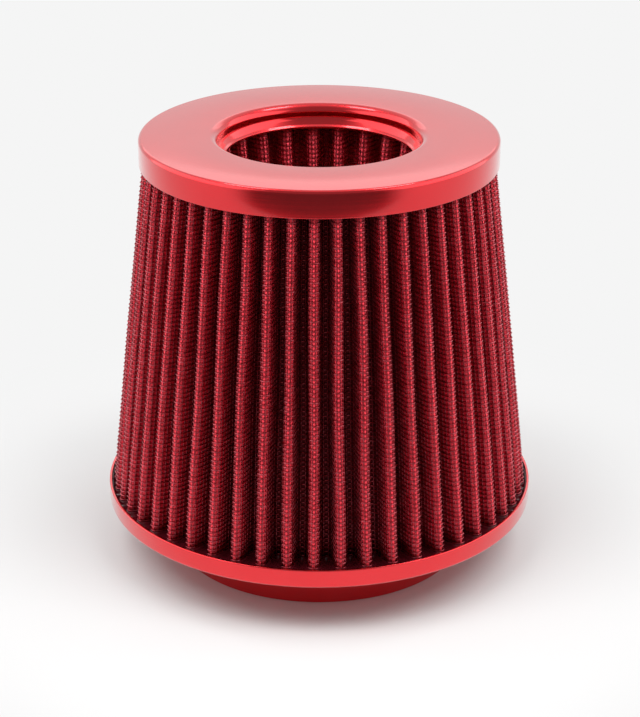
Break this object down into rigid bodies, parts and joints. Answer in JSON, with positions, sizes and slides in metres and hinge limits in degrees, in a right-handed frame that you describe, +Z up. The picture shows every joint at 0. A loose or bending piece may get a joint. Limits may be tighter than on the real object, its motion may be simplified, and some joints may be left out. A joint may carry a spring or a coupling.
{
  "type": "cone air filter",
  "caption": "Open-top cone air filter: pleated wire-backed gauze cone with an inverted inner funnel, between red anodised metal end pieces on a round inlet neck.",
  "frame": {"origin": "centre of the inlet neck's lower rim, where the filter stands on a flat surface", "axes": "+Z up along the filter's axis, from the inlet neck to the open top; -Y faces the viewer of the picture"},
  "size_m": [0.155, 0.155, 0.1558],
  "materials": {
    "red_anodised": "spun and red anodised, glossy",
    "coated_wire": "woven wire with a thin coat",
    "oiled_gauze": "red oiled cotton gauze",
    "potting": "dark cast potting, glossy"
  },
  "bodies": {
    "root": {"top_cap": "red_anodised", "base_pan": "red_anodised", "inlet_neck": "red_anodised", "funnel_end_cap": "red_anodised", "outer_screen": "coated_wire", "inner_screen": "coated_wire", "outer_gauze": "oiled_gauze", "inner_gauze": "oiled_gauze", "top_sealant": "potting", "base_sealant": "potting", "funnel_sealant": "potting"}
  },
  "joints": []
}
